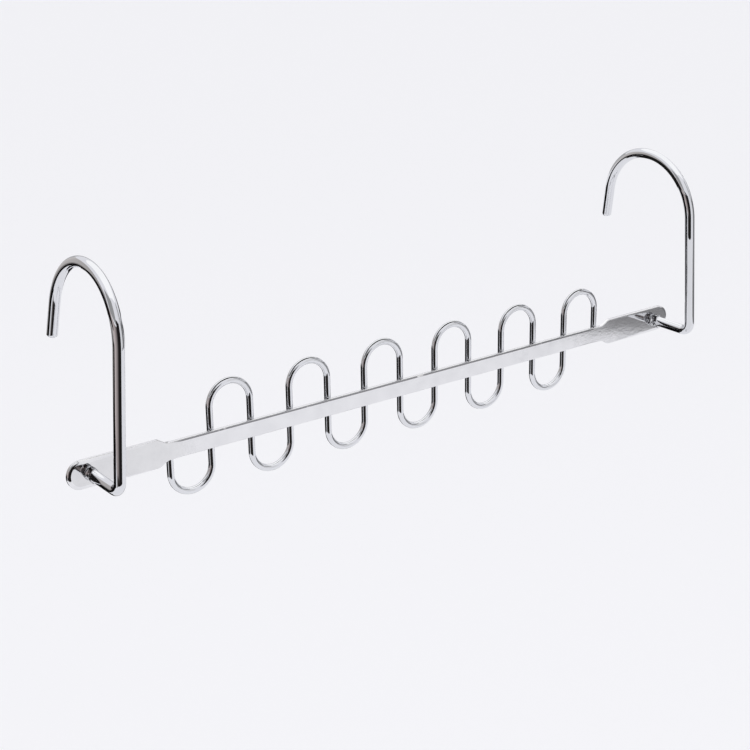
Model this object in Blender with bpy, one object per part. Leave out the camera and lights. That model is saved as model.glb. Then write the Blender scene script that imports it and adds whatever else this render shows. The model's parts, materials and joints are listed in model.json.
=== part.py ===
"""Cascading clothes hanger that hangs on a round closet rail.

A flat bar carries one wire, bent to and fro into hanging loops above and below it and tacked to the
bar's back. Each end of the bar is a wider paddle with a hole, in which the tail of a wire hook turns,
so that the bar hangs level from both hooks, or drops and hangs upright from one.

The origin is midway between the hooks, on the line where both of them rest on the rail.
+X runs along the bar, +Y points to the back and +Z is up.
"""

import math

import bmesh
import bpy
from mathutils import Matrix, Vector

MM = 0.001

# Loop wire
LOOP_COUNT = 12
LOOP_PITCH = 25.0 * MM
LOOP_WIRE = 3.8 * MM
LOOP_RISE = 28.8 * MM
LOOP_DROP = 27.1 * MM
WIRE_END_INSET = 1.0 * MM

# Carrier bar
BAR_THICKNESS = 2.5 * MM
WEB_WIDTH = 9.7 * MM
WEB_MARGIN = 2.0 * MM
FLARE_LENGTH = 7.5 * MM
PADDLE_WIDTH = 15.6 * MM
PADDLE_LENGTH = 50.5 * MM
HOLE_INSET = 12.5 * MM
EDGE_ROUND = 0.4 * MM
HOLE_CHAMFER = 0.3 * MM

# Hooks
HOOK_WIRE = 6.0 * MM
HOOK_LEG = 72.8 * MM
HOOK_RADIUS = 34.4 * MM
BEND_INNER_RADIUS = 3.0 * MM
TIP_LENGTH = 19.0 * MM
TIP_FLARE = math.radians(11.3)
HOOK_LEAN = math.radians(3.9)
EAR_OVERHANG = 1.0 * MM
EAR_THICKNESS = 4.0 * MM
EAR_LENGTH = 5.0 * MM
EAR_RAMP = 1.3 * MM
STUB_LENGTH = 1.5 * MM
CUT_CHAMFER = 0.5 * MM

# Tack welds
WELD_LENGTH = 6.0 * MM
WELD_TOE = 1.9 * MM
WELD_TOP_ANGLE = math.radians(75.0)

# Clearances
SEAT_GAP = 0.3 * MM
PIVOT_CLEARANCE = 0.3 * MM
EAR_CLEARANCE = 0.4 * MM
CUTTER_MARGIN = 1.0 * MM

# Facets
ARC_STEPS = 12
WIRE_BEVEL_RESOLUTION = 4
FLARE_STEPS = 6
END_STEPS = 10
HOLE_SIDES = 40
HOOK_SIDES = 18
BEND_STEPS = 6
CREST_STEPS = 26
WELD_ARC_STEPS = 4
EDGE_STEPS = 2
SMOOTH_ANGLE = math.radians(35.0)

# Chrome, as a grey shade and a roughness
BAR_CHROME = (0.80, 0.10)
LOOP_CHROME = (0.84, 0.06)
HOOK_CHROME = (0.84, 0.05)
WELD_CHROME = (0.70, 0.25)
BLUE_CAST = 1.01

# Places worked out from the sizes above
FLARE_START = LOOP_COUNT * LOOP_PITCH / 2 + WEB_MARGIN
PADDLE_START = FLARE_START + FLARE_LENGTH
BAR_END = PADDLE_START + PADDLE_LENGTH
PIVOT_X = BAR_END - HOLE_INSET
HOLE_RADIUS = HOOK_WIRE / 2 + PIVOT_CLEARANCE
BAR_Y = -(SEAT_GAP + LOOP_WIRE) / 2
LOOP_Y = BAR_Y + BAR_THICKNESS / 2 + SEAT_GAP + LOOP_WIRE / 2
SEAT_HEIGHT = HOOK_LEG + HOOK_RADIUS - HOOK_WIRE / 2
BAR_Z = -SEAT_HEIGHT * math.cos(HOOK_LEAN)

X_AXIS = Vector((1.0, 0.0, 0.0))


def clear_scene():
    """Remove every object of the open scene."""
    for item in list(bpy.data.objects):
        bpy.data.objects.remove(item, do_unlink=True)


def chrome(name, shade, roughness):
    """Make a polished metal of one grey shade."""
    material = bpy.data.materials.new(name)
    material.use_nodes = True
    shader = material.node_tree.nodes["Principled BSDF"]
    shader.inputs["Base Color"].default_value = (shade, shade, shade * BLUE_CAST, 1.0)
    shader.inputs["Metallic"].default_value = 1.0
    shader.inputs["Roughness"].default_value = roughness
    return material


def add_object(name, data, location, material=None):
    """Link a new object that holds the given mesh or curve."""
    item = bpy.data.objects.new(name, data)
    item.location = location
    bpy.context.collection.objects.link(item)
    if material is not None and not data.materials:
        data.materials.append(material)
    return item


def finish_mesh(name, shape):
    """Turn a bmesh into a mesh with outward faces, smooth where it is round."""
    bmesh.ops.recalc_face_normals(shape, faces=shape.faces)
    mesh = bpy.data.meshes.new(name)
    shape.to_mesh(mesh)
    shape.free()
    mesh.shade_smooth()
    mesh.set_sharp_from_angle(angle=SMOOTH_ANGLE)
    return mesh


def loft(rings):
    """Join a row of equal rings of points with faces and close both ends."""
    shape = bmesh.new()
    loops = [[shape.verts.new(point) for point in ring] for ring in rings]
    for near, far in zip(loops, loops[1:]):
        for index in range(len(near)):
            after = (index + 1) % len(near)
            shape.faces.new((near[index], near[after], far[after], far[index]))
    shape.faces.new(loops[0])
    shape.faces.new(loops[-1])
    return shape


def bar_outline():
    """List the corners of the bar's face in order round its edge, as (x, z)."""
    quarter = []
    for step in range(FLARE_STEPS + 1):
        share = step / FLARE_STEPS
        spread = (PADDLE_WIDTH - WEB_WIDTH) / 2 * (1.0 - math.cos(math.pi * share)) / 2
        quarter.append((FLARE_START + FLARE_LENGTH * share, WEB_WIDTH / 2 + spread))
    end_radius = PADDLE_WIDTH / 2
    for step in range(END_STEPS + 1):
        angle = math.pi / 2 * (1.0 - step / END_STEPS)
        x = BAR_END - end_radius + end_radius * math.cos(angle)
        quarter.append((x, end_radius * math.sin(angle)))
    right = quarter + [(x, -z) for x, z in reversed(quarter[:-1])]
    return right + [(-x, -z) for x, z in right]


def hole_cutter(name, side):
    """Make the tool that cuts a paddle's hole and breaks its two edges."""
    half = BAR_THICKNESS / 2
    mouth = HOLE_RADIUS + HOLE_CHAMFER + CUTTER_MARGIN
    stations = (
        (-half - CUTTER_MARGIN, mouth),
        (-half + HOLE_CHAMFER, HOLE_RADIUS),
        (half - HOLE_CHAMFER, HOLE_RADIUS),
        (half + CUTTER_MARGIN, mouth),
    )
    rings = []
    for depth, radius in stations:
        turns = [2.0 * math.pi * index / HOLE_SIDES for index in range(HOLE_SIDES)]
        rings.append([(radius * math.cos(turn), depth, radius * math.sin(turn)) for turn in turns])
    cutter = add_object(name, finish_mesh(name, loft(rings)), (side * PIVOT_X, BAR_Y, BAR_Z))
    cutter.hide_render = True
    cutter.display_type = "WIRE"
    return cutter


def build_bar():
    """Make the flat bar: a narrow web with a wider, holed paddle at each end."""
    shape = bmesh.new()
    face = shape.faces.new([shape.verts.new((x, -BAR_THICKNESS / 2, z)) for x, z in bar_outline()])
    grown = bmesh.ops.extrude_face_region(shape, geom=[face])
    corners = [item for item in grown["geom"] if isinstance(item, bmesh.types.BMVert)]
    bmesh.ops.translate(shape, verts=corners, vec=(0.0, BAR_THICKNESS, 0.0))
    mesh = finish_mesh("carrier_bar", shape)
    bar = add_object("carrier_bar", mesh, (0.0, BAR_Y, BAR_Z), chrome("bar_chrome", *BAR_CHROME))
    rounding = bar.modifiers.new("edge_round", "BEVEL")
    rounding.width = EDGE_ROUND
    rounding.segments = EDGE_STEPS
    rounding.limit_method = "ANGLE"
    for name, side in (("left_hole_cutter", -1), ("right_hole_cutter", 1)):
        cut = bar.modifiers.new(name, "BOOLEAN")
        cut.operation = "DIFFERENCE"
        cut.solver = "EXACT"
        cut.object = hole_cutter(name, side)


def loop_path():
    """List the loop wire's centre line from its left end, as (x, z) from the bar's middle."""
    radius = LOOP_PITCH / 2
    first_leg = -LOOP_COUNT * LOOP_PITCH / 2
    hidden_end = WEB_WIDTH / 2 - WIRE_END_INSET
    path = [(first_leg, hidden_end)]
    for index in range(LOOP_COUNT):
        upward, reach = (-1, LOOP_DROP) if index % 2 == 0 else (1, LOOP_RISE)
        middle_x = first_leg + (index + 0.5) * LOOP_PITCH
        for step in range(ARC_STEPS + 1):
            angle = math.pi * (1.0 - step / ARC_STEPS)
            z = upward * (reach - radius + radius * math.sin(angle))
            path.append((middle_x + radius * math.cos(angle), z))
    path.append((-first_leg, -upward * hidden_end))
    return path


def build_loop_wire():
    """Make the one wire that forms every hanging loop, behind the bar."""
    curve = bpy.data.curves.new("loop_wire", "CURVE")
    curve.dimensions = "3D"
    curve.bevel_depth = LOOP_WIRE / 2
    curve.bevel_resolution = WIRE_BEVEL_RESOLUTION
    curve.use_fill_caps = True
    path = loop_path()
    spline = curve.splines.new("POLY")
    spline.points.add(len(path) - 1)
    for point, (x, z) in zip(spline.points, path):
        point.co = (x, 0.0, z, 1.0)
    add_object("loop_wire", curve, (0.0, LOOP_Y, BAR_Z), chrome("loop_chrome", *LOOP_CHROME))


def weld_mesh():
    """Make one tack: a bead in the corner between a leg of the wire and the bar's back.

    Its frame is the leg's axis: +Z up the leg and -Y towards the bar.
    """
    reach = LOOP_WIRE / 2 + SEAT_GAP
    floor = -LOOP_WIRE / 2
    start = math.acos(-floor / reach)
    section = [(reach * math.sin(start) + WELD_TOE, floor)]
    for step in range(WELD_ARC_STEPS + 1):
        angle = WELD_TOP_ANGLE + (start - WELD_TOP_ANGLE) * step / WELD_ARC_STEPS
        section.append((reach * math.sin(angle), -reach * math.cos(angle)))
    rings = [[(x, y, z) for x, y in section] for z in (-WELD_LENGTH / 2, WELD_LENGTH / 2)]
    return finish_mesh("tack_weld", loft(rings))


def build_welds():
    """Place one tack at each leg of the loop wire."""
    mesh = weld_mesh()
    material = chrome("weld_chrome", *WELD_CHROME)
    for index in range(LOOP_COUNT + 1):
        x = (index - LOOP_COUNT / 2) * LOOP_PITCH
        add_object(f"tack_weld_{index + 1:02d}", mesh, (x, LOOP_Y, BAR_Z), material)


def ear_stations(near, away):
    """List a pinched ear's stations along the tail, as (y, half height, half thickness).

    Args:
        near: where the ear starts, next to the bar.
        away: -1 for the ear in front of the bar and 1 for the one behind it.
    """
    plain = HOOK_WIRE / 2
    height = HOLE_RADIUS + EAR_OVERHANG
    return [
        (near, plain, plain),
        (near + away * EAR_RAMP, height, EAR_THICKNESS / 2),
        (near + away * (EAR_LENGTH - EAR_RAMP), height, EAR_THICKNESS / 2),
        (near + away * EAR_LENGTH, plain, plain),
    ]


def hook_stations():
    """List the hook's rings as (centre, in-plane normal, half height, half thickness).

    The frame is the pivot: the hook stands upright and its tail lies along Y through the hole.
    """
    plain = HOOK_WIRE / 2
    cut = plain - CUT_CHAMFER
    ear_face = BAR_THICKNESS / 2 + EAR_CLEARANCE
    stub_end = ear_face + EAR_LENGTH + STUB_LENGTH
    tail = [(stub_end, cut, cut), (stub_end - CUT_CHAMFER, plain, plain)]
    tail += reversed(ear_stations(ear_face, 1))
    tail += ear_stations(-ear_face, -1)
    stations = [(Vector((0.0, y, 0.0)), Vector((0.0, 0.0, 1.0)), tall, thick) for y, tall, thick in tail]

    leg_y = -HOOK_RADIUS - BAR_Y
    bend_radius = BEND_INNER_RADIUS + plain
    bend_centre = Vector((0.0, leg_y + bend_radius, bend_radius))
    for step in range(BEND_STEPS + 1):
        angle = -math.pi / 2 - math.pi / 2 * step / BEND_STEPS
        outward = Vector((0.0, math.cos(angle), math.sin(angle)))
        stations.append((bend_centre + bend_radius * outward, -outward, plain, plain))

    crest_centre = Vector((0.0, leg_y + HOOK_RADIUS, HOOK_LEG))
    for step in range(CREST_STEPS + 1):
        angle = math.pi + (TIP_FLARE - math.pi) * step / CREST_STEPS
        outward = Vector((0.0, math.cos(angle), math.sin(angle)))
        stations.append((crest_centre + HOOK_RADIUS * outward, -outward, plain, plain))

    tip_start, inward = stations[-1][:2]
    down = Vector((0.0, math.sin(TIP_FLARE), -math.cos(TIP_FLARE)))
    stations.append((tip_start + down * (TIP_LENGTH - CUT_CHAMFER), inward, plain, plain))
    stations.append((tip_start + down * TIP_LENGTH, inward, cut, cut))
    return stations


def hook_mesh():
    """Make the hook's wire by lofting its stations."""
    turns = [2.0 * math.pi * index / HOOK_SIDES for index in range(HOOK_SIDES)]
    rings = []
    for centre, normal, tall, thick in hook_stations():
        ring = [centre + X_AXIS * (thick * math.cos(turn)) + normal * (tall * math.sin(turn)) for turn in turns]
        rings.append(ring)
    return finish_mesh("hook", loft(rings))


def build_hooks():
    """Place both hooks in their holes, leaning towards each other as they hang on the rail."""
    mesh = hook_mesh()
    material = chrome("hook_chrome", *HOOK_CHROME)
    for name, side in (("left_hook", -1), ("right_hook", 1)):
        pivot = add_object(f"{name}_pivot", None, (side * PIVOT_X, BAR_Y, BAR_Z))
        hook = add_object(name, mesh, (0.0, 0.0, 0.0), material)
        hook.parent = pivot
        hook.matrix_basis = Matrix.Rotation(-side * HOOK_LEAN, 4, "Y")


def main():
    """Build the whole hanger."""
    clear_scene()
    build_bar()
    build_loop_wire()
    build_welds()
    build_hooks()


main()
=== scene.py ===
"""Polished chrome looks for a cascading clothes hanger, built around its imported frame.

The flat bar, the looped wire, both hooks and the tack welds are rebuilt as smooth meshes at the frame's own
sizes, each with a chrome plate finish, in a pale studio with a camera at the photograph's angle.
Lengths are in metres. The origin is on the line where the hooks rest, midway between them.
"""

import json
import logging
import math
from dataclasses import dataclass, field
from enum import Enum

import bmesh
import bpy
from mathutils import Matrix, Vector
from mathutils.geometry import tessellate_polygon


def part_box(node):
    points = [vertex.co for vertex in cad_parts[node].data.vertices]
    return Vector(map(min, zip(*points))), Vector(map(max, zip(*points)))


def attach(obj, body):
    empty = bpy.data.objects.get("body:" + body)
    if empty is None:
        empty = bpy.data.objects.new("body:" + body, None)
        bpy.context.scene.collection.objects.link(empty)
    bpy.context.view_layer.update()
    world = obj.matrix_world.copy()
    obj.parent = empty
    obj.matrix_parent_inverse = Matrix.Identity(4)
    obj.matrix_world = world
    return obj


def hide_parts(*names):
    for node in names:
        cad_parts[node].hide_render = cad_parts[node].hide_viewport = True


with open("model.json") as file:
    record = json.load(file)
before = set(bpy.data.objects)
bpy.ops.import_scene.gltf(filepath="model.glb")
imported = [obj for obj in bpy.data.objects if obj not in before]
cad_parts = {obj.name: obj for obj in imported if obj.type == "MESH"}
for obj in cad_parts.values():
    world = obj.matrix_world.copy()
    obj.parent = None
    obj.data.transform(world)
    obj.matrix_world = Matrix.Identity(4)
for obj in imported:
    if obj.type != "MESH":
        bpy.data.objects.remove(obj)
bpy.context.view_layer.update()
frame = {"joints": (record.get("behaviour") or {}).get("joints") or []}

MM = 0.001
SHARP_ANGLE = math.radians(32.0)
MERGE_DISTANCE = 0.001 * MM

# Attributes that meshes carry: coordinates along a wire laid straight, a wire's share of its diameter, how
# strongly a place is marked darker and duller (tool marks on the hooks' pinched ears, and a thin line at the
# bar's upper front corner), and a card's tone.
WIRE_COORDS = "wire_coords"
WIRE_SCALE = "wire_scale"
MARKED = "pressed"
TONE = "tone"

# A Mix node's sockets go by number, because their names repeat for each kind of value.
NUMBER_A, NUMBER_B = 2, 3
COLOUR_A, COLOUR_B = 6, 7
MIXED_COLOUR = 2

# A wire's centre line: each point with the share of the full diameter that the wire has there.
WirePath = list[tuple[Vector, float]]

log = logging.getLogger("hanger")


class Side(Enum):
    """The two ends of the bar, as the sign of X."""

    LEFT = -1
    RIGHT = 1


class Grain(Enum):
    """What a finish's lines follow: the piece's own X, or the length of the wire it is drawn on."""

    ALONG_X = "object"
    ALONG_WIRE = WIRE_COORDS


def linear(code: str) -> tuple[float, float, float, float]:
    """Turn an sRGB hex colour into linear light.

    Args:
        code: six hex digits after a #.

    Returns:
        The colour with an alpha of 1.
    """
    parts = [int(code[at:at + 2], 16) / 255.0 for at in (1, 3, 5)]
    light = [part / 12.92 if part <= 0.04045 else ((part + 0.055) / 1.055) ** 2.4 for part in parts]
    return (*light, 1.0)


def add_node(tree: bpy.types.NodeTree, kind: str, values: dict[str | int, object] | None = None,
             **settings: object) -> bpy.types.Node:
    """Add a node, set its own properties and fill its inputs.

    Args:
        tree: the tree that gets the node.
        kind: the node's type.
        values: by input name or number, a plain value or another node's output to link.
        settings: the node's properties.

    Returns:
        The new node.
    """
    node = tree.nodes.new(kind)
    for key, value in settings.items():
        setattr(node, key, value)
    for key, value in (values or {}).items():
        if isinstance(value, bpy.types.NodeSocket):
            tree.links.new(value, node.inputs[key])
        else:
            node.inputs[key].default_value = value
    return node


def add_object(name: str, data: bpy.types.ID) -> bpy.types.Object:
    """Link a new object at the origin.

    Args:
        name: the object's name.
        data: its mesh, lamp or camera.

    Returns:
        The new object.
    """
    item = bpy.data.objects.new(name, data)
    bpy.context.scene.collection.objects.link(item)
    return item


def join_rings(shape: bmesh.types.BMesh, rings: list[list[bmesh.types.BMVert]]) -> None:
    """Join closed rings of corners, each to the next, with four-sided faces.

    Args:
        shape: the shape that holds the corners.
        rings: the rings in order, all with the same number of corners.
    """
    for near, far in zip(rings, rings[1:]):
        for at in range(len(near)):
            after = (at + 1) % len(near)
            shape.faces.new((near[at], near[after], far[after], far[at]))


def write_mesh(shape: bmesh.types.BMesh, mesh: bpy.types.Mesh) -> bpy.types.Mesh:
    """Turn a shape's faces outwards, write it to a mesh and free it.

    Args:
        shape: the shape, which is used up.
        mesh: the mesh that gets it.

    Returns:
        The same mesh.
    """
    bmesh.ops.recalc_face_normals(shape, faces=shape.faces)
    shape.to_mesh(mesh)
    shape.free()
    return mesh


def smooth(mesh: bpy.types.Mesh) -> bpy.types.Mesh:
    """Shade a mesh smooth, with crisp edges where it turns sharply.

    Args:
        mesh: the mesh to shade.

    Returns:
        The same mesh.
    """
    mesh.shade_smooth()
    mesh.set_sharp_from_angle(angle=SHARP_ANGLE)
    return mesh


def ease(share: float) -> float:
    """Ease a share between 0 and 1 in and out."""
    share = min(max(share, 0.0), 1.0)
    return share * share * (3.0 - 2.0 * share)


@dataclass(frozen=True)
class ChromePlate:
    """Bright chrome over nickel on steel.

    The plate is a near mirror. Buffing leaves hazy patches a little rougher and darker than the rest, the
    drawn or rolled steel below shows as faint lines, and the plate itself has a slight orange peel. Real
    lines are too fine to show, so they are drawn coarser. Where a mesh is marked, the plate is darker and
    duller, from specks to a thin line: tool marks on the hooks' pinched ears, and a line along the bar's
    upper front corner.
    """

    name: str
    grain: Grain
    bright: str
    hazy: str
    gloss: float
    haze: float
    patch: float
    line_spacing: float
    line_length: float
    line_depth: float
    peel_size: float
    peel_depth: float
    # Marks: where a mesh is marked, specks of this darker tone and roughness, on the hooks' ears and along
    # the bar's upper front corner.
    mark_tone: str = "#47474A"
    mark_rough: float = 0.24
    mark_size: float = 0.9 * MM
    mark_start: float = 0.40
    mark_fade: float = 0.12
    haze_start: float = 0.10
    haze_full: float = 0.42
    patch_detail: float = 3.0
    line_detail: float = 2.0
    peel_detail: float = 1.0
    mark_detail: float = 2.0

    def line_scale(self) -> tuple[float, float, float]:
        """Give the lines' scale on each axis.

        Returns:
            The scales of X, Y and Z, with long lines along the grain.
        """
        across = 1.0 / self.line_spacing
        along = 1.0 / self.line_length
        return (along, across, across) if self.grain is Grain.ALONG_X else (across, across, along)

    def place(self, tree: bpy.types.NodeTree) -> bpy.types.NodeSocket:
        """Add the coordinates that the finish's patterns follow.

        Args:
            tree: the material's tree.

        Returns:
            The coordinates' socket.
        """
        if self.grain is Grain.ALONG_X:
            return add_node(tree, "ShaderNodeTexCoord").outputs["Object"]
        return add_node(tree, "ShaderNodeAttribute", attribute_name=WIRE_COORDS).outputs["Vector"]

    def marking(self, tree: bpy.types.NodeTree, place: bpy.types.NodeSocket) -> bpy.types.NodeSocket:
        """Add the marks: darker, duller specks that show only where a mesh is marked.

        Args:
            tree: the material's tree.
            place: the coordinates' socket.

        Returns:
            The socket that says how marked each place is.
        """
        pressed = add_node(tree, "ShaderNodeAttribute", attribute_name=MARKED)
        specks = add_node(tree, "ShaderNodeTexNoise", {
            "Vector": place, "Scale": 1.0 / self.mark_size, "Detail": self.mark_detail,
        })
        return add_node(tree, "ShaderNodeMapRange", {
            "Value": specks.outputs["Fac"], "From Min": self.mark_start,
            "From Max": self.mark_start + self.mark_fade, "To Max": pressed.outputs["Fac"],
        }).outputs[0]

    def material(self) -> bpy.types.Material:
        """Build the finish's material.

        Returns:
            The new material.
        """
        material = bpy.data.materials.new(self.name)
        material.use_nodes = True
        tree = material.node_tree
        place = self.place(tree)
        patches = add_node(tree, "ShaderNodeTexNoise", {
            "Vector": place, "Scale": 1.0 / self.patch, "Detail": self.patch_detail,
        })
        stretched = add_node(tree, "ShaderNodeMapping", {"Vector": place, "Scale": self.line_scale()})
        lines = add_node(tree, "ShaderNodeTexNoise", {
            "Vector": stretched.outputs[0], "Scale": 1.0, "Detail": self.line_detail,
        })
        peel = add_node(tree, "ShaderNodeTexNoise", {
            "Vector": place, "Scale": 1.0 / self.peel_size, "Detail": self.peel_detail,
        })
        colour = add_node(tree, "ShaderNodeMix", {
            "Factor": patches.outputs["Fac"], COLOUR_A: linear(self.bright), COLOUR_B: linear(self.hazy),
        }, data_type="RGBA")
        spread = add_node(tree, "ShaderNodeMath", {
            0: patches.outputs["Fac"], 1: lines.outputs["Fac"],
        }, operation="MULTIPLY")
        rough = add_node(tree, "ShaderNodeMapRange", {
            "Value": spread.outputs[0], "From Min": self.haze_start, "From Max": self.haze_full,
            "To Min": self.gloss, "To Max": self.haze,
        })
        marking = self.marking(tree, place)
        colour = add_node(tree, "ShaderNodeMix", {
            "Factor": marking, COLOUR_A: colour.outputs[MIXED_COLOUR], COLOUR_B: linear(self.mark_tone),
        }, data_type="RGBA")
        rough = add_node(tree, "ShaderNodeMix", {
            "Factor": marking, NUMBER_A: rough.outputs[0], NUMBER_B: self.mark_rough,
        })
        drawn = add_node(tree, "ShaderNodeBump", {
            "Height": lines.outputs["Fac"], "Distance": self.line_depth,
        })
        skin = add_node(tree, "ShaderNodeBump", {
            "Height": peel.outputs["Fac"], "Distance": self.peel_depth, "Normal": drawn.outputs[0],
        })
        shader = tree.nodes["Principled BSDF"]
        shader.inputs["Metallic"].default_value = 1.0
        tree.links.new(colour.outputs[MIXED_COLOUR], shader.inputs["Base Color"])
        tree.links.new(rough.outputs[0], shader.inputs["Roughness"])
        tree.links.new(skin.outputs[0], shader.inputs["Normal"])
        return material


# Flat bar: rolled strip, stamped and buffed before plating, so its lines run along it and its plate looks
# faintly rippled. A thin line along the web's upper front corner is coloured darker and duller.
BAR_PLATE = ChromePlate(
    "chrome_on_rolled_bar", Grain.ALONG_X, bright="#F2F2F3", hazy="#E0E0E2", gloss=0.05, haze=0.09,
    patch=7.0 * MM, line_spacing=0.55 * MM, line_length=45.0 * MM, line_depth=0.0012 * MM, peel_size=1.7 * MM,
    peel_depth=0.0060 * MM, mark_tone="#929295", mark_rough=0.2, mark_size=6.0 * MM, mark_start=0.25,
)
# Loop wire: cold drawn wire, brightest of all, with die lines along its length.
LOOP_PLATE = ChromePlate(
    "chrome_on_drawn_wire", Grain.ALONG_WIRE, bright="#E6E7EA", hazy="#DDDEE1", gloss=0.03, haze=0.08,
    patch=14.0 * MM, line_spacing=0.45 * MM, line_length=30.0 * MM, line_depth=0.0010 * MM,
    peel_size=1.8 * MM, peel_depth=0.0012 * MM,
)
# Hooks: the same wire, thicker and buffed by hand, with dark specks where the ears were pinched.
HOOK_PLATE = ChromePlate(
    "chrome_on_hook_wire", Grain.ALONG_WIRE, bright="#E6E7EA", hazy="#DCDDE0", gloss=0.03, haze=0.08,
    patch=18.0 * MM, line_spacing=0.55 * MM, line_length=40.0 * MM, line_depth=0.0010 * MM,
    peel_size=2.2 * MM, peel_depth=0.0014 * MM,
)
# Tack welds: plated over without buffing, so the metal is duller and pitted.
WELD_PLATE = ChromePlate(
    "chrome_on_weld_bead", Grain.ALONG_X, bright="#C9CACC", hazy="#A9AAAC", gloss=0.18, haze=0.38,
    patch=2.5 * MM, line_spacing=0.8 * MM, line_length=0.8 * MM, line_depth=0.05 * MM, peel_size=0.5 * MM,
    peel_depth=0.03 * MM,
)


@dataclass
class NodeGroup:
    """A Geometry Nodes group that turns one mesh into another and gives it a finish.

    Its inputs are listed by name with their kinds, and the finish comes after them.
    """

    name: str
    kinds: dict[str, str]
    tree: bpy.types.NodeTree = field(init=False)
    given: bpy.types.Node = field(init=False)
    inputs: dict[str, str] = field(init=False, default_factory=dict)

    def __post_init__(self) -> None:
        """Make the group with its inputs and note their identifiers."""
        self.tree = bpy.data.node_groups.new(self.name, "GeometryNodeTree")
        face = self.tree.interface
        face.new_socket("Geometry", in_out="INPUT", socket_type="NodeSocketGeometry")
        for name, kind in {**self.kinds, "Material": "Material"}.items():
            socket = face.new_socket(name, in_out="INPUT", socket_type=f"NodeSocket{kind}")
            self.inputs[name] = socket.identifier
        face.new_socket("Geometry", in_out="OUTPUT", socket_type="NodeSocketGeometry")
        self.given = add_node(self.tree, "NodeGroupInput")

    def close(self, made: bpy.types.NodeSocket) -> None:
        """End the group: make real what it has made, give it its finish and send it out.

        Args:
            made: the geometry that the group makes.
        """
        real = add_node(self.tree, "GeometryNodeRealizeInstances", {0: made})
        dressed = add_node(self.tree, "GeometryNodeSetMaterial", {
            "Geometry": real.outputs[0], "Material": self.given.outputs["Material"],
        })
        add_node(self.tree, "NodeGroupOutput", {0: dressed.outputs[0]})

    def run(self, mesh: bpy.types.Mesh, values: dict[str, object]) -> bpy.types.Mesh:
        """Run the group on a mesh.

        Args:
            mesh: the mesh that goes in.
            values: the inputs by name.

        Returns:
            What the group makes, as a plain mesh without an object.
        """
        holder = add_object(self.name, mesh)
        steps = holder.modifiers.new(self.name, "NODES")
        steps.node_group = self.tree
        for name, value in values.items():
            steps[self.inputs[name]] = value
        graph = bpy.context.evaluated_depsgraph_get()
        made = bpy.data.meshes.new_from_object(holder.evaluated_get(graph), depsgraph=graph)
        bpy.data.objects.remove(holder, do_unlink=True)
        return made


@dataclass
class WireSweep:
    """Sweeps a round wire along a path with Geometry Nodes."""

    group: NodeGroup = field(init=False)

    def __post_init__(self) -> None:
        """Build the group: path to curve, round profile, swept tube and its straightened coordinates."""
        self.group = NodeGroup("wire_sweep", {"Wire Diameter": "Float", "Sides": "Int"})
        tree, given = self.group.tree, self.group.given
        radius = add_node(tree, "ShaderNodeMath", {
            0: given.outputs["Wire Diameter"], 1: 0.5,
        }, operation="MULTIPLY")
        path = add_node(tree, "GeometryNodeMeshToCurve", {"Mesh": given.outputs["Geometry"]})
        scale = add_node(tree, "GeometryNodeInputNamedAttribute", {"Name": WIRE_SCALE}, data_type="FLOAT")
        step = add_node(tree, "GeometryNodeSplineParameter")
        measured = add_node(tree, "GeometryNodeCaptureAttribute", {0: path.outputs[0]}, domain="POINT")
        measured.capture_items.new("FLOAT", "along")
        tree.links.new(step.outputs["Length"], measured.inputs["along"])
        ring = add_node(tree, "GeometryNodeCurvePrimitiveCircle", {
            "Resolution": given.outputs["Sides"], "Radius": radius.outputs[0],
        })
        turned = add_node(tree, "GeometryNodeCaptureAttribute", {0: ring.outputs[0]}, domain="POINT")
        turned.capture_items.new("VECTOR", "around")
        tree.links.new(add_node(tree, "GeometryNodeInputPosition").outputs[0], turned.inputs["around"])
        tube = add_node(tree, "GeometryNodeCurveToMesh", {
            "Curve": measured.outputs[0], "Profile Curve": turned.outputs[0],
            "Scale": scale.outputs["Attribute"], "Fill Caps": True,
        })
        parts = add_node(tree, "ShaderNodeSeparateXYZ", {0: turned.outputs["around"]})
        straight = add_node(tree, "ShaderNodeCombineXYZ", {
            0: parts.outputs[0], 1: parts.outputs[1], 2: measured.outputs["along"],
        })
        kept = add_node(tree, "GeometryNodeStoreNamedAttribute", {
            "Geometry": tube.outputs[0], "Name": WIRE_COORDS, "Value": straight.outputs[0],
        }, data_type="FLOAT_VECTOR", domain="POINT")
        self.group.close(kept.outputs[0])

    def run(self, path: WirePath, diameter: float, sides: int,
            material: bpy.types.Material) -> bpy.types.Mesh:
        """Sweep one wire.

        Args:
            path: its centre line.
            diameter: its diameter.
            sides: how many sides its round has.
            material: its finish.

        Returns:
            The wire as a plain mesh with outward faces.
        """
        line = bpy.data.meshes.new("wire_path")
        line.from_pydata([point for point, _ in path], [(at, at + 1) for at in range(len(path) - 1)], [])
        scale = line.attributes.new(WIRE_SCALE, "FLOAT", "POINT")
        scale.data.foreach_set("value", [share for _, share in path])
        mesh = self.group.run(line, {"Wire Diameter": diameter, "Sides": sides, "Material": material})
        shape = bmesh.new()
        shape.from_mesh(mesh)
        bmesh.ops.remove_doubles(shape, verts=shape.verts, dist=MERGE_DISTANCE)
        return smooth(write_mesh(shape, mesh))


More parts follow.
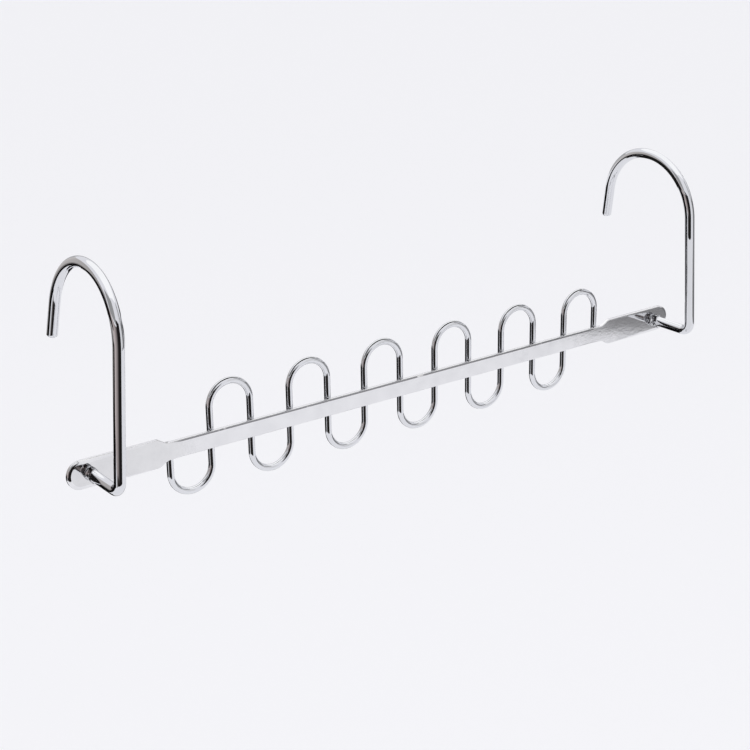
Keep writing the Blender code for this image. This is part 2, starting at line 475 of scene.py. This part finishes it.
@dataclass
class CarrierBar:
    """The flat bar: a narrow web with rounded edges and a wider, flatter paddle at each end."""

    middle: Vector
    thickness: float = 2.5 * MM
    web_width: float = 9.7 * MM
    web_half: float = 152.0 * MM
    flare_length: float = 7.5 * MM
    paddle_width: float = 15.6 * MM
    paddle_length: float = 50.5 * MM
    hole_inset: float = 12.5 * MM
    hole_radius: float = 3.3 * MM
    hole_round: float = 0.35 * MM
    web_round: float = 1.05 * MM
    flare_round: float = 0.4 * MM
    paddle_round: float = 1.1 * MM
    paddle_roll: float = 2.0 * MM
    back_round: float = 0.4 * MM
    web_fade: float = 8.0 * MM
    fade_steps: int = 10
    # A thin line along the web's upper front corner is coloured darker and duller than the rest of the plate.
    dark_line_start: float = 0.005 * MM
    dark_line_stop: float = 0.36 * MM
    rim: float = 0.04 * MM
    flare_steps: int = 24
    end_steps: int = 36
    round_steps: int = 8
    hole_sides: int = 96

    def half_length(self) -> float:
        """Give half of the bar's length."""
        return self.web_half + self.flare_length + self.paddle_length

    def corners(self) -> list[tuple[float, float, float, float]]:
        """List the outline's corners in order round the bar.

        The web's edges are rounded, the flares are crisp, and the paddles' edges roll off wider towards their
        ends.

        Returns:
            Each corner's x and z, and the width and depth of the edge's round there.
        """
        crisp, end = self.flare_round, self.paddle_width / 2
        straight = self.half_length() - end - self.web_half - self.flare_length
        quarter = []
        for step in range(self.fade_steps):
            share = step / self.fade_steps
            edge = self.web_round + (crisp - self.web_round) * ease(share)
            quarter.append((self.web_half - self.web_fade * (1.0 - share), self.web_width / 2, edge, edge))
        for step in range(self.flare_steps + 1):
            share = step / self.flare_steps
            spread = (end - self.web_width / 2) * (1.0 - math.cos(math.pi * share)) / 2
            x = self.web_half + self.flare_length * share
            quarter.append((x, self.web_width / 2 + spread, crisp, crisp))
        for step in range(1, self.fade_steps):
            share = step / self.fade_steps
            x = self.web_half + self.flare_length + straight * share
            quarter.append((x, end, crisp + (self.paddle_roll - crisp) * ease(share),
                            crisp + (self.paddle_round - crisp) * ease(share)))
        for step in range(self.end_steps + 1):
            angle = math.pi / 2 * (1.0 - step / self.end_steps)
            x = self.half_length() - end + end * math.cos(angle)
            quarter.append((x, end * math.sin(angle), self.paddle_roll, self.paddle_round))
        right = quarter + [(x, -z, *edge) for x, z, *edge in reversed(quarter[:-1])]
        return right + [(-x, -z, *edge) for x, z, *edge in right]

    def edge_rings(self) -> list[list[Vector]]:
        """List the rings of the outer edge.

        Returns:
            The rings from the front face's rim to the back face's, each a list of points.
        """
        corners = self.corners()
        inward = []
        for at, here in enumerate(corners):
            behind, ahead = corners[at - 1], corners[(at + 1) % len(corners)]
            turn = Vector((0.0, 0.0))
            for start, stop in ((behind, here), (here, ahead)):
                edge = Vector((stop[0] - start[0], stop[1] - start[1])).normalized()
                turn += Vector((edge.y, -edge.x))
            inward.append(turn.normalized())
        half = self.thickness / 2
        front, back = [], []
        for step in range(-1, self.round_steps + 1):
            angle = math.pi / 2 * (1.0 - max(step, 0) / self.round_steps)
            rise, run = math.sin(angle), 1.0 - math.cos(angle)
            rim = self.rim if step < 0 else 0.0
            rings = ([], [])
            for (x, z, wide, deep), way in zip(corners, inward):
                wide, deep = wide * run + rim, deep * (1.0 - rise)
                rings[0].append(Vector((x + way.x * wide, deep - half, z + way.y * wide)))
                wide, deep = self.back_round * run + rim, self.back_round * (1.0 - rise)
                rings[1].append(Vector((x + way.x * wide, half - deep, z + way.y * wide)))
            front.append(rings[0])
            back.insert(0, rings[1])
        return front + back

    def hole_rings(self, side: Side) -> list[list[Vector]]:
        """List the rings of one hole.

        Args:
            side: the end of the bar that the hole is in.

        Returns:
            The rings from the front face's rim to the back face's, each a list of points.
        """
        centre = side.value * (self.half_length() - self.hole_inset)
        half = self.thickness / 2
        wall = [(self.hole_radius + self.hole_round + self.rim, -half)]
        for step in range(self.round_steps + 1):
            angle = math.pi / 2 * (1.0 - step / self.round_steps)
            wall.append((self.hole_radius + self.hole_round * (1.0 - math.cos(angle)),
                         -(half - self.hole_round + self.hole_round * math.sin(angle))))
        wall += [(radius, -depth) for radius, depth in reversed(wall)]
        turns = [2.0 * math.pi * at / self.hole_sides for at in range(self.hole_sides)]
        return [[Vector((centre + radius * math.cos(turn), depth, radius * math.sin(turn))) for turn in turns]
                for radius, depth in wall]

    def dark_line(self, place: Vector) -> float:
        """Tell how far the bar is coloured darker and duller: only a thin line along the web's upper front
        corner is.

        Args:
            place: a place on the bar, from its middle.

        Returns:
            A share from bright at 0 to darker and duller at 1.
        """
        depth = place.y + self.thickness / 2
        if place.z < 0.0 or not self.dark_line_start < depth < self.dark_line_stop:
            return 0.0
        return ease((self.web_half - abs(place.x)) / self.web_fade)

    def mesh(self) -> bpy.types.Mesh:
        """Build the bar's mesh in its place.

        Returns:
            The new mesh.
        """
        shape = bmesh.new()
        fronts, backs = [], []
        for rings in (self.edge_rings(), self.hole_rings(Side.LEFT), self.hole_rings(Side.RIGHT)):
            loops = [[shape.verts.new(point + self.middle) for point in ring] for ring in rings]
            join_rings(shape, loops)
            fronts.append(loops[0])
            backs.append(loops[-1])
        for loops in (fronts, backs):
            flat = [corner for loop in loops for corner in loop]
            for face in tessellate_polygon([[corner.co for corner in loop] for loop in loops]):
                shape.faces.new([flat[at] for at in face])
        mesh = write_mesh(shape, bpy.data.meshes.new("bar_plate"))
        # Mark the thin line along the web's upper front corner that the plate colours darker and duller.
        pressed = mesh.attributes.new(MARKED, "FLOAT", "POINT")
        pressed.data.foreach_set("value", [self.dark_line(corner.co - self.middle) for corner in mesh.vertices])
        mesh.shade_smooth()
        return mesh

    def dress(self) -> bpy.types.Object:
        """Make the bar's piece and tie it to the frame.

        Returns:
            The finished piece.
        """
        mesh = self.mesh()
        mesh.materials.append(BAR_PLATE.material())
        piece = add_object("bar_plate", mesh)
        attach(piece, "bar")
        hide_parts("carrier_bar")
        return piece


@dataclass
class LoopWire:
    """The one wire behind the bar, bent to and fro into hanging loops."""

    middle: Vector
    sweep: WireSweep
    count: int = 12
    pitch: float = 25.0 * MM
    diameter: float = 3.8 * MM
    rise: float = 28.8 * MM
    drop: float = 27.1 * MM
    end_height: float = 3.1 * MM
    arc_steps: int = 56
    sides: int = 40

    def path(self) -> WirePath:
        """List the wire's centre line.

        Returns:
            Its points from the left end to the right one, at the full diameter.
        """
        radius = self.pitch / 2
        first = -self.count * self.pitch / 2
        points = [(first, self.end_height)]
        for index in range(self.count):
            way, reach = (-1, self.drop) if index % 2 == 0 else (1, self.rise)
            centre = first + (index + 0.5) * self.pitch
            for step in range(self.arc_steps + 1):
                angle = math.pi * (1.0 - step / self.arc_steps)
                height = way * (reach - radius + radius * math.sin(angle))
                points.append((centre + radius * math.cos(angle), height))
        points.append((-first, -way * self.end_height))
        return [(self.middle + Vector((x, 0.0, z)), 1.0) for x, z in points]

    def dress(self) -> bpy.types.Object:
        """Make the loop wire's piece and tie it to the frame.

        Returns:
            The finished piece.
        """
        mesh = self.sweep.run(self.path(), self.diameter, self.sides, LOOP_PLATE.material())
        piece = add_object("looped_wire", mesh)
        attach(piece, "bar")
        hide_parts("loop_wire")
        return piece


@dataclass
class TackWelds:
    """The beads that join each leg of the loop wire to the bar's back."""

    wire: LoopWire
    length: float = 6.0 * MM
    toe: float = 3.0 * MM
    root_share: float = 0.2
    seat: float = 0.3 * MM
    sink: float = 0.05 * MM
    top_angle: float = math.radians(75.0)
    hollow: float = 0.28
    ripple: float = 0.07
    ripple_count: int = 4
    end_least: float = 0.0004
    end_power: float = 0.7
    curve_steps: int = 8
    length_steps: int = 30

    def section(self) -> list[Vector]:
        """List the bead's section.

        Returns:
            Its points as (x, y) from the leg's axis, the buried corner first.
        """
        radius = self.wire.diameter / 2 - self.sink
        floor = -(self.wire.diameter / 2 + self.seat + self.sink)
        toe = Vector((self.toe, floor))
        top = Vector((radius * math.sin(self.top_angle), -radius * math.cos(self.top_angle)))
        chord = top - toe
        sag = Vector((-chord.y, chord.x)).normalized() * chord.length * self.hollow / 2
        points = [Vector((self.toe * self.root_share, floor))]
        for step in range(self.curve_steps + 1):
            share = step / self.curve_steps
            points.append(toe + chord * share + sag * math.sin(math.pi * share))
        return points

    def bead(self) -> bpy.types.Mesh:
        """Build one bead round the leg's axis, with rippled flanks and rounded ends.

        Returns:
            The new mesh.
        """
        section = self.section()
        corner = section[0]
        shape = bmesh.new()
        rings = []
        for step in range(self.length_steps + 1):
            share = 2.0 * step / self.length_steps - 1.0
            body = math.sqrt(max(1.0 - share * share, self.end_least)) ** self.end_power
            wave = 1.0 - self.ripple * (0.5 + 0.5 * math.cos(math.pi * self.ripple_count * share))
            ring = [corner + (point - corner) * body * wave for point in section]
            rings.append([shape.verts.new((point.x, point.y, share * self.length / 2)) for point in ring])
        join_rings(shape, rings)
        shape.faces.new(rings[0])
        shape.faces.new(rings[-1])
        return smooth(write_mesh(shape, bpy.data.meshes.new("tack_bead")))

    def row(self) -> NodeGroup:
        """Build the group that sets a bead at each leg.

        Returns:
            The new group.
        """
        group = NodeGroup("row_of_beads", {"Count": "Int", "Start": "Vector", "Pitch": "Vector"})
        given = group.given
        row = add_node(group.tree, "GeometryNodeMeshLine", {
            "Count": given.outputs["Count"], "Start Location": given.outputs["Start"],
            "Offset": given.outputs["Pitch"],
        }, mode="OFFSET")
        beads = add_node(group.tree, "GeometryNodeInstanceOnPoints", {
            "Points": row.outputs[0], "Instance": given.outputs["Geometry"],
        })
        group.close(beads.outputs[0])
        return group

    def dress(self) -> bpy.types.Object:
        """Make the welds' piece and tie it to the frame.

        Returns:
            The finished piece.
        """
        mesh = self.row().run(self.bead(), {
            "Count": self.wire.count + 1,
            "Start": self.wire.middle - Vector((self.wire.count * self.wire.pitch / 2, 0.0, 0.0)),
            "Pitch": (self.wire.pitch, 0.0, 0.0),
            "Material": WELD_PLATE.material(),
        })
        piece = add_object("tack_beads", mesh)
        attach(piece, "bar")
        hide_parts(*(f"tack_weld_{number:02d}" for number in range(1, self.wire.count + 2)))
        return piece


@dataclass
class Hook:
    """A wire hook whose tail turns in the paddle's hole between two pinched ears."""

    side: Side
    pivot: Vector
    sweep: WireSweep
    diameter: float = 6.0 * MM
    leg: float = 72.8 * MM
    radius: float = 34.4 * MM
    bend_inside: float = 3.0 * MM
    tip: float = 19.0 * MM
    flare: float = math.radians(11.3)
    lean: float = math.radians(3.9)
    bar_half: float = 1.25 * MM
    ear_gap: float = 0.4 * MM
    ear_half_height: float = 4.3 * MM
    ear_half_thickness: float = 2.0 * MM
    ear_length: float = 5.0 * MM
    ear_ramp: float = 1.1 * MM
    ear_square: float = 0.8
    ear_groove: float = 0.22 * MM
    ear_grooves: int = 2
    ear_least: float = 0.01
    stub: float = 1.5 * MM
    cut: float = 0.5 * MM
    tip_round: float = 1.6 * MM
    tip_steps: int = 8
    fine_step: float = 0.16 * MM
    leg_steps: int = 12
    bend_steps: int = 28
    crest_steps: int = 110
    sides: int = 48

    def name(self) -> str:
        """Give the name of the hook's body and CAD node."""
        return f"{self.side.name.lower()}_hook"

    def ends(self) -> tuple[float, float]:
        """Give where the ears start and where the tail ends behind the bar, along Y from the pivot."""
        near = self.bar_half + self.ear_gap
        return near, near + self.ear_length + self.stub

    def path(self) -> WirePath:
        """List the wire's centre line in the upright pivot frame.

        Returns:
            Its points from the cut tail to the rounded tip.
        """
        plain = self.diameter / 2
        chamfered = 1.0 - self.cut / plain
        near, back = self.ends()
        leg_y = -self.radius - self.pivot.y
        bend = self.bend_inside + plain
        points = [(Vector((0.0, back, 0.0)), chamfered), (Vector((0.0, back - self.cut, 0.0)), 1.0)]
        count = round((2.0 * near + 2.0 * self.ear_length) / self.fine_step)
        for step in range(count + 1):
            y = near + self.ear_length - step * (2.0 * (near + self.ear_length)) / count
            points.append((Vector((0.0, y, 0.0)), 1.0))
        turn = Vector((0.0, leg_y + bend, bend))
        for step in range(self.bend_steps + 1):
            angle = -math.pi / 2 * (1.0 + step / self.bend_steps)
            points.append((turn + bend * Vector((0.0, math.cos(angle), math.sin(angle))), 1.0))
        for step in range(1, self.leg_steps):
            points.append((Vector((0.0, leg_y, bend + (self.leg - bend) * step / self.leg_steps)), 1.0))
        crest = Vector((0.0, leg_y + self.radius, self.leg))
        for step in range(self.crest_steps + 1):
            angle = math.pi + (self.flare - math.pi) * step / self.crest_steps
            points.append((crest + self.radius * Vector((0.0, math.cos(angle), math.sin(angle))), 1.0))
        start = points[-1][0]
        down = Vector((0.0, math.sin(self.flare), -math.cos(self.flare)))
        points.append((start + down * (self.tip - self.tip_round - self.fine_step), 1.0))
        for step in range(self.tip_steps + 1):
            turned = math.pi / 2 * step / self.tip_steps
            reach = self.tip - self.tip_round * (1.0 - math.sin(turned))
            points.append((start + down * reach, 1.0 - self.tip_round * (1.0 - math.cos(turned)) / plain))
        return points

    def pinch(self, mesh: bpy.types.Mesh) -> None:
        """Press the two ears into the tail, with the shallow grooves of the tool's jaws.

        Args:
            mesh: the swept wire in the upright pivot frame.
        """
        near, _ = self.ends()
        plain = self.diameter / 2
        pressed = mesh.attributes.new(MARKED, "FLOAT", "POINT")
        for corner in mesh.vertices:
            depth = abs(corner.co.y) - near
            if not 0.0 <= depth <= self.ear_length or abs(corner.co.z) > self.diameter:
                continue
            press = ease(min(depth, self.ear_length - depth) / self.ear_ramp)
            wave = 0.5 - 0.5 * math.cos(2.0 * math.pi * self.ear_grooves * depth / self.ear_length)
            flat = max(abs(corner.co.x) / plain, self.ear_least)
            thick = self.ear_half_thickness * flat ** (self.ear_square - 1.0) - self.ear_groove * wave * flat
            corner.co.x *= 1.0 + press * (thick / plain - 1.0)
            corner.co.z *= 1.0 + press * (self.ear_half_height / plain - 1.0)
            pressed.data[corner.index].value = press

    def dress(self) -> bpy.types.Object:
        """Make the hook's piece and tie it to the frame.

        Returns:
            The finished piece.
        """
        mesh = self.sweep.run(self.path(), self.diameter, self.sides, HOOK_PLATE.material())
        self.pinch(mesh)
        lean = Matrix.Rotation(-self.side.value * self.lean, 4, "Y")
        mesh.transform(Matrix.Translation(self.pivot) @ lean)
        piece = add_object(f"{self.name()}_wire", smooth(mesh))
        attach(piece, self.name())
        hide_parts(self.name())
        return piece


def show_in_chrome(name: str, mesh: bpy.types.Mesh) -> None:
    """Stage a mesh that glows in its own tones and is seen only by what it is mirrored in.

    Args:
        name: the object's name.
        mesh: its mesh, with a tone at each corner.
    """
    material = bpy.data.materials.new(name)
    material.use_nodes = True
    tree = material.node_tree
    tree.nodes.clear()
    tone = add_node(tree, "ShaderNodeAttribute", attribute_name=TONE)
    glow = add_node(tree, "ShaderNodeEmission", {"Color": tone.outputs["Color"]})
    add_node(tree, "ShaderNodeOutputMaterial", {"Surface": glow.outputs[0]})
    mesh.materials.append(material)
    item = add_object(name, mesh)
    for ray in ("camera", "diffuse", "transmission", "volume_scatter", "shadow"):
        setattr(item, f"visible_{ray}", False)


@dataclass(frozen=True)
class Card:
    """A flat card that stands beside the object and shows only as a band in the chrome.

    It runs between two points of the plan, and its heights are above the bar. Its low edge and its tone can
    change towards the far point. A card that stands in for a soft lamp has a glow that lifts its tones, and a
    lean moves a card's top along Y, over the object.
    """

    name: str
    start: tuple[float, float]
    stop: tuple[float, float]
    low: float
    high: float
    tone: str
    far_tone: str | None = None
    far_low: float | None = None
    glow: float = 1.0
    lean: float = 0.0

    def build(self, level: float) -> None:
        """Stand the card up.

        Args:
            level: the bar's height.
        """
        high = level + self.high
        far_low = level + (self.low if self.far_low is None else self.far_low)
        mesh = bpy.data.meshes.new(self.name)
        mesh.from_pydata([(*self.start, level + self.low), (*self.stop, far_low),
                          (self.stop[0], self.stop[1] + self.lean, high),
                          (self.start[0], self.start[1] + self.lean, high)], [], [(0, 1, 2, 3)])
        tones = (self.tone, self.far_tone or self.tone)
        near, far = ([part * self.glow for part in linear(code)] for code in tones)
        colours = mesh.attributes.new(TONE, "FLOAT_COLOR", "POINT")
        colours.data.foreach_set("color", (*near, *far, *far, *near))
        show_in_chrome(self.name, mesh)


# Points of the plan where neighbouring cards meet, from beside the camera round by the left to the back, and
# at the right.
CAMERA_POST = (-0.500, -0.541)
LEFT_POST = (-0.789, -0.382)
FAR_LEFT_POST = (-1.046, 0.242)
LEFT_BACK_POST = (-0.688, 0.604)
BACK_POST = (-0.463, 0.833)
FAR_BACK_POST = (-0.105, 1.195)
RIGHT_POST = (1.350, -1.250)
FAR_RIGHT_POST = (1.533, -0.885)

# Tones that several cards have.
BLACK = "#101010"
DARK = "#201E1E"
BROWN = "#9B9190"
GREY = "#868688"

CARDS = (
    # Dark on the camera's side, and brown, then paler, to its left: the broad bands in the legs and loops.
    Card("camera_dark_card", CAMERA_POST, (0.05, -0.846), -0.42, 0.40, DARK, far_low=-0.40),
    Card("camera_brown_card", LEFT_POST, CAMERA_POST, -0.21, 0.27, BROWN, DARK),
    Card("camera_low_card", LEFT_POST, CAMERA_POST, -0.44, -0.21, DARK, far_low=-0.42),
    Card("left_brown_card", FAR_LEFT_POST, LEFT_POST, -0.21, 0.27, "#DCD0CE", BROWN),
    Card("left_low_card", (-0.90, -0.112), LEFT_POST, -0.5, -0.21, "#A8A4A3", DARK, far_low=-0.44),
    # Black low down, from the left to the back: thin lines along the wires' edges.
    Card("left_under_card", FAR_LEFT_POST, (-0.982, 0.086), -0.5, -0.21, BLACK),
    Card("left_dark_card", LEFT_BACK_POST, FAR_LEFT_POST, -0.5, -0.08, BLACK),
    Card("left_back_card", BACK_POST, LEFT_BACK_POST, -0.5, -0.2, BLACK),
    Card("back_dark_card", FAR_BACK_POST, BACK_POST, -0.79, -0.2, BLACK),
    # Greys above those, more black low behind, and a bright one leaning over the object: tails and crests.
    Card("left_grey_card", FAR_BACK_POST, FAR_LEFT_POST, -0.08, 0.46, "#D8D4D2", "#9A9695"),
    Card("left_upper_card", (-1.096, 0.096), (-0.482, -0.575), 0.30, 0.95, "#A0A0A0"),
    Card("back_low_card", (-0.40, 0.544), (0.50, 0.544), -0.7, -0.33, BLACK),
    Card("back_grey_card", (1.7, 1.25), (-0.3, 1.62), -0.08, 0.50, "#B4B4B6"),
    Card("back_bright_card", (1.6, 1.2), (-0.75, 1.5), 0.72, 1.6, "#FFFFFF",
         far_low=1.55, glow=1.2, lean=-2.3),
    Card("left_gap_card", BACK_POST, LEFT_BACK_POST, -0.20, -0.08, "#8C8886"),
    # Pale in front: the left paddle's tone.
    Card("front_grey_card", (0.150, -0.900), (0.350, -0.900), -0.50, -0.35, "#E9E9EC", "#EFEFF2"),
    # White close to the right hook's leg, which is paler than the left one's.
    Card("right_white_card", (0.165, -0.036), (0.192, -0.066), -0.05, 0.053, "#F0F0F3"),
    # Greys far to the right: the tones of the bar's right part.
    Card("right_grey_card", (1.111, -1.728), FAR_RIGHT_POST, -0.643, -0.49, GREY, far_low=-0.517),
    Card("right_far_card", FAR_RIGHT_POST, (2.307, 0.662), -0.578, 0.30, "#757577"),
    Card("right_upper_card", (0.90, -2.15), RIGHT_POST, -0.49, 1.5, "#E6E6E8"),
    Card("right_mid_card", RIGHT_POST, FAR_RIGHT_POST, -0.49, 1.5, GREY),
    # Black close to the right hook's tail and over the loops: the tail's underside and the bends' edges.
    Card("right_under_card", (0.160, -0.0235), (0.180, -0.0325), -0.05, -0.02, BLACK),
    Card("over_dark_card", (-0.175, -0.0125), (0.175, -0.0125), 0.064, 0.064, BLACK, lean=0.025),
)


@dataclass(frozen=True)
class Lamp:
    """A soft lamp that lights the studio and is not seen in the chrome."""

    name: str
    place: tuple[float, float, float]
    size: tuple[float, float]
    power: float

    def build(self, aim: Vector) -> None:
        """Hang the lamp.

        Args:
            aim: what it points at.
        """
        data = bpy.data.lights.new(self.name, "AREA")
        data.shape = "RECTANGLE"
        data.size, data.size_y = self.size
        data.energy = self.power
        lamp = add_object(self.name, data)
        lamp.location = self.place
        lamp.rotation_euler = (aim - Vector(self.place)).to_track_quat("-Z", "Y").to_euler()
        lamp.visible_camera = False
        lamp.visible_glossy = False


LAMPS = (
    Lamp("top_lamp", (0.3, 0.5, 2.4), (1.2, 1.2), 2.5),
    Lamp("front_lamp", (0.55, -2.2, 0.55), (0.7, 1.5), 1.5),
)


@dataclass
class Studio:
    """A pale seamless studio: floor, soft lamps, the pale room all round and cards for the chrome."""

    level: float
    pale: str = "#F3F3F7"
    floor_drop: float = 0.9
    floor_half: float = 9.0
    floor_rough: float = 0.9
    room_light: float = 0.985
    aim_height: float = -0.08
    flag_tone: str = "#1C1B1B"
    flag_radius: float = 12.0 * MM
    flag_drop: float = 1.05
    flag_half: float = 0.5
    flag_sides: int = 32

    def floor(self) -> None:
        """Lay the pale floor."""
        half = self.floor_half
        mesh = bpy.data.meshes.new("floor")
        plan = ((-half, -half), (half, -half), (half, half), (-half, half))
        mesh.from_pydata([(*corner, -self.floor_drop) for corner in plan], [], [(0, 1, 2, 3)])
        material = bpy.data.materials.new("pale_floor")
        material.use_nodes = True
        shader = material.node_tree.nodes["Principled BSDF"]
        shader.inputs["Base Color"].default_value = linear(self.pale)
        shader.inputs["Roughness"].default_value = self.floor_rough
        mesh.materials.append(material)
        add_object("floor", mesh)

    def room(self) -> None:
        """Make the room: its pale colour for what is seen, and an even light for what is lit."""
        world = bpy.data.worlds.new("pale_room")
        bpy.context.scene.world = world
        world.use_nodes = True
        tree = world.node_tree
        tree.nodes.clear()
        ray = add_node(tree, "ShaderNodeLightPath")
        seen = add_node(tree, "ShaderNodeMath", {
            0: ray.outputs["Is Camera Ray"], 1: ray.outputs["Is Glossy Ray"],
        }, operation="MAXIMUM")
        seen = add_node(tree, "ShaderNodeMath", {
            0: seen.outputs[0], 1: ray.outputs["Is Transmission Ray"],
        }, operation="MAXIMUM")
        light = add_node(tree, "ShaderNodeBackground", {
            "Color": linear("#FFFFFF"), "Strength": self.room_light,
        })
        show = add_node(tree, "ShaderNodeBackground", {"Color": linear(self.pale), "Strength": 1.0})
        both = add_node(tree, "ShaderNodeMixShader", {
            0: seen.outputs[0], 1: light.outputs[0], 2: show.outputs[0],
        })
        add_node(tree, "ShaderNodeOutputWorld", {"Surface": both.outputs[0]})

    def flag(self) -> None:
        """Lay a round dark flag under the hooks' crests, to darken what their undersides mirror."""
        mesh = bpy.data.meshes.new("crest_flag")
        corners = []
        for at in range(self.flag_sides):
            turn = 2.0 * math.pi * at / self.flag_sides
            height = self.flag_radius * (math.sin(turn) - self.flag_drop)
            for x in (-self.flag_half, self.flag_half):
                corners.append((x, self.flag_radius * math.cos(turn), height))
        count = len(corners)
        faces = [(at, at + 1, (at + 3) % count, (at + 2) % count) for at in range(0, count, 2)]
        mesh.from_pydata(corners, [], faces)
        colours = mesh.attributes.new(TONE, "FLOAT_COLOR", "POINT")
        colours.data.foreach_set("color", linear(self.flag_tone) * count)
        show_in_chrome("crest_flag", mesh)

    def build(self) -> None:
        """Set the whole studio up."""
        self.floor()
        self.room()
        for lamp in LAMPS:
            lamp.build(Vector((0.0, 0.0, self.aim_height)))
        for card in CARDS:
            card.build(self.level)
        self.flag()


@dataclass
class PhotoCamera:
    """The camera that took the photograph, found by matching the object's points."""

    place: Vector = field(default_factory=lambda: Vector((-0.52445, -0.69702, 0.21797)))
    heading: float = 0.9428
    dip: float = 0.3467
    roll: float = -0.0168
    lens: float = 78.557
    sensor: float = 36.0
    clip_start: float = 0.01
    clip_end: float = 100.0

    def build(self) -> None:
        """Set the camera up and make it the scene's."""
        data = bpy.data.cameras.new("photo_camera")
        data.lens = self.lens
        data.sensor_width = self.sensor
        data.clip_start = self.clip_start
        data.clip_end = self.clip_end
        camera = add_object("photo_camera", data)
        ahead = Vector((math.cos(self.dip) * math.cos(self.heading),
                        math.cos(self.dip) * math.sin(self.heading), -math.sin(self.dip)))
        level = Vector((math.sin(self.heading), -math.cos(self.heading), 0.0))
        above = level.cross(ahead)
        right = level * math.cos(self.roll) + above * math.sin(self.roll)
        up = above * math.cos(self.roll) - level * math.sin(self.roll)
        turn = Matrix((right, up, -ahead)).transposed()
        camera.matrix_world = Matrix.Translation(self.place) @ turn.to_4x4()
        bpy.context.scene.camera = camera


def main() -> None:
    """Build the hanger, the studio and the camera."""
    logging.basicConfig(level=logging.INFO, format="%(name)s: %(message)s")
    bpy.context.scene.view_settings.view_transform = "Standard"
    pivots = {joint["child"]: Vector(joint["pos_m"]) for joint in frame["joints"]}
    axis = pivots["left_hook"]
    PhotoCamera().build()
    sweep = WireSweep()
    bar = CarrierBar(Vector((0.0, axis.y, axis.z)))
    low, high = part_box("loop_wire")
    wire = LoopWire(Vector((0.0, (low.y + high.y) / 2, axis.z)), sweep)
    parts = [bar, wire, TackWelds(wire)]
    parts += [Hook(side, pivots[f"{side.name.lower()}_hook"], sweep) for side in Side]
    for part in parts:
        piece = part.dress()
        log.info("%s: %d faces", piece.name, len(piece.data.polygons))
    Studio(axis.z).build()


if __name__ == "__main__":
    main()
